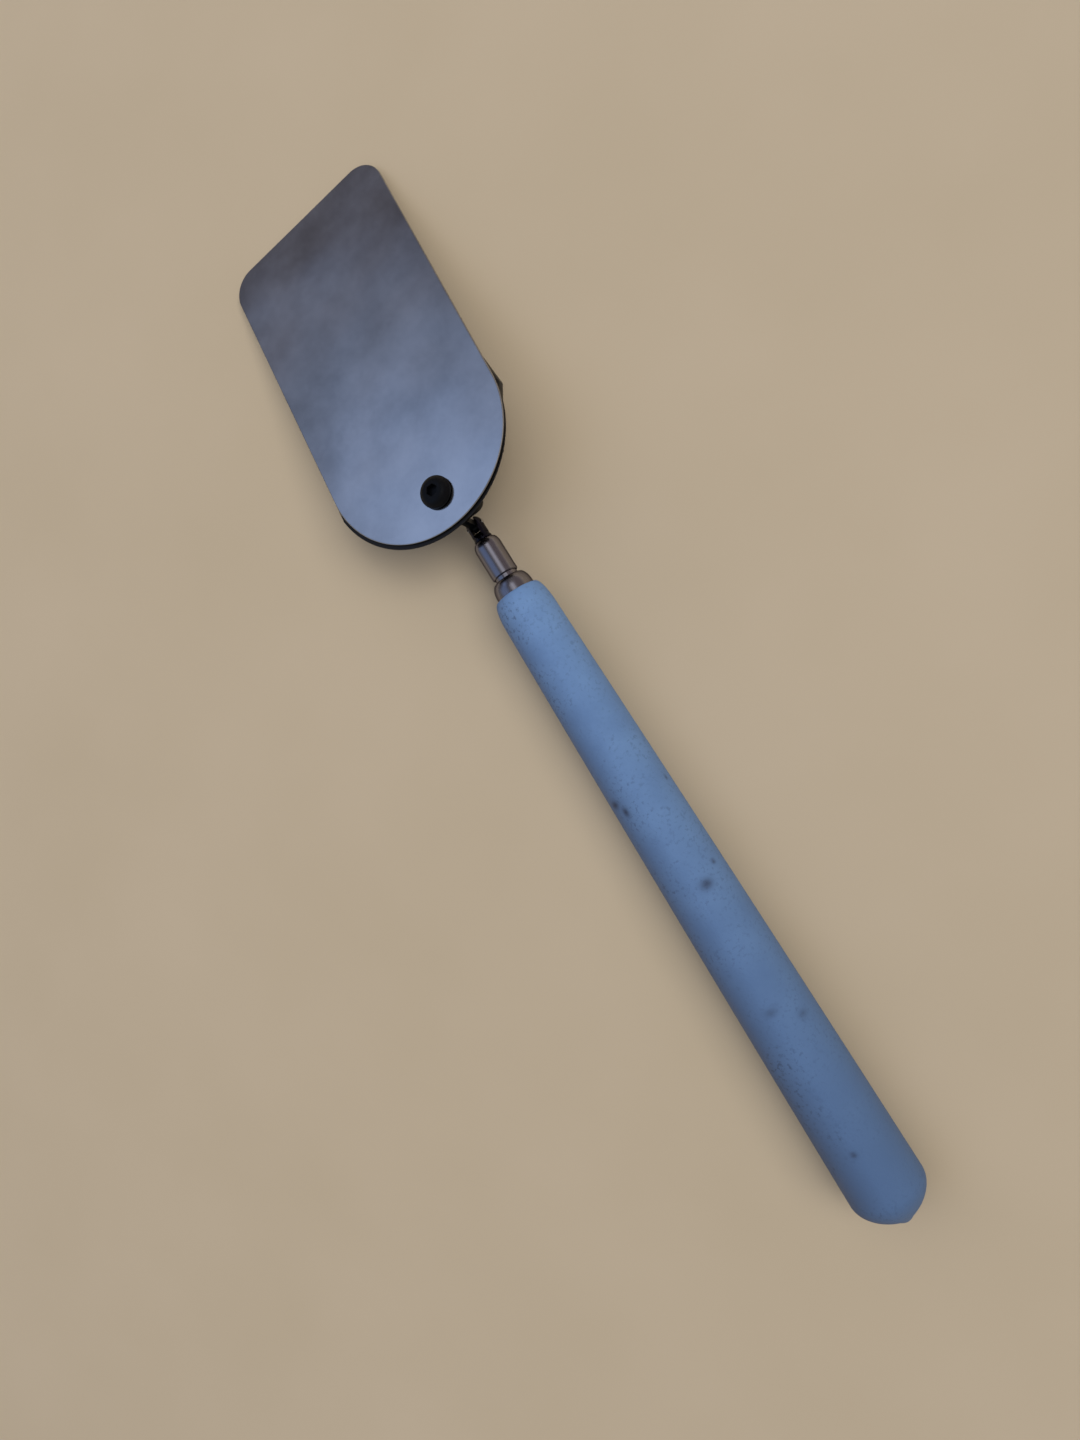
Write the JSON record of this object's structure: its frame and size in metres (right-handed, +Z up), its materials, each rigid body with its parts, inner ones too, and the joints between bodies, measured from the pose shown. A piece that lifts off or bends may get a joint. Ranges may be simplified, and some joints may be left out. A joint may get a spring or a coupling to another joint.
{
  "type": "telescoping inspection mirror",
  "caption": "Hand inspection mirror: a tongue-shaped polished steel mirror on a tilting, swivelling head, telescoping steel stages and a dipped vinyl grip.",
  "frame": {"origin": "on the bench that the tool lies on, midway along and across the tool", "axes": "+Y along the shaft from the grip to the mirror, +Z up from the bench, +X to the right"},
  "size_m": [0.0486, 0.2708, 0.0226],
  "materials": {
    "vinyl": "matte dipped vinyl, light blue",
    "tube_steel": "drawn and polished tube",
    "plug_nylon": "moulded nylon",
    "ferrule_steel": "polished sleeve",
    "brass": "turned brass",
    "bronze": "spring bronze",
    "rod_steel": "ground rod",
    "black_stem": "glossy black",
    "black_oxide": "black oxide",
    "backing_black": "moulded black",
    "mirror_steel": "polished stainless steel with a light haze",
    "spring_steel": "spring temper",
    "fibre": "vulcanised fibre"
  },
  "bodies": {
    "handle": {"vinyl_grip": "vinyl", "handle_tube": "tube_steel", "handle_end_plug": "plug_nylon"},
    "middle_stage": {"middle_tube": "tube_steel", "middle_ferrule": "ferrule_steel", "middle_tail_plug": "brass", "middle_bush_upper": "bronze", "middle_bush_lower": "bronze"},
    "inner_bush": {"inner_bush_upper": "bronze", "inner_bush_lower": "bronze"},
    "mast": {"inner_rod": "rod_steel", "inner_tail_ring": "brass", "stem_fork": "black_stem", "hinge_pin": "rod_steel"},
    "knuckle": {"tilt_knuckle": "black_oxide"},
    "mirror": {"mirror_plate": "mirror_steel", "mirror_backing": "backing_black", "pivot_screw": "black_oxide", "friction_washer": "fibre", "spring_washer": "spring_steel", "lock_nut": "black_oxide"}
  },
  "joints": [
    {"name": "middle_extend", "type": "slide", "parent": "handle", "child": "middle_stage", "axis": [0, 1, 0], "range_m": [0, 0.13]},
    {"name": "inner_extend", "type": "slide", "parent": "middle_stage", "child": "inner_bush", "axis": [0, 1, 0], "range_m": [0, 0.135]},
    {"name": "mast_turn", "type": "hinge", "parent": "inner_bush", "child": "mast", "pos_m": [0, 0, 0.00895], "axis": [0, 1, 0], "continuous": true},
    {"name": "head_tilt", "type": "hinge", "parent": "mast", "child": "knuckle", "pos_m": [0, 0.04506, 0.00895], "axis": [1, 0, 0], "range_deg": [-75, 50]},
    {"name": "mirror_swivel", "type": "hinge", "parent": "knuckle", "child": "mirror", "pos_m": [0, 0.05311, 0.01981], "axis": [0, 0.2253, 0.9743], "range_deg": [-60, 60]}
  ]
}
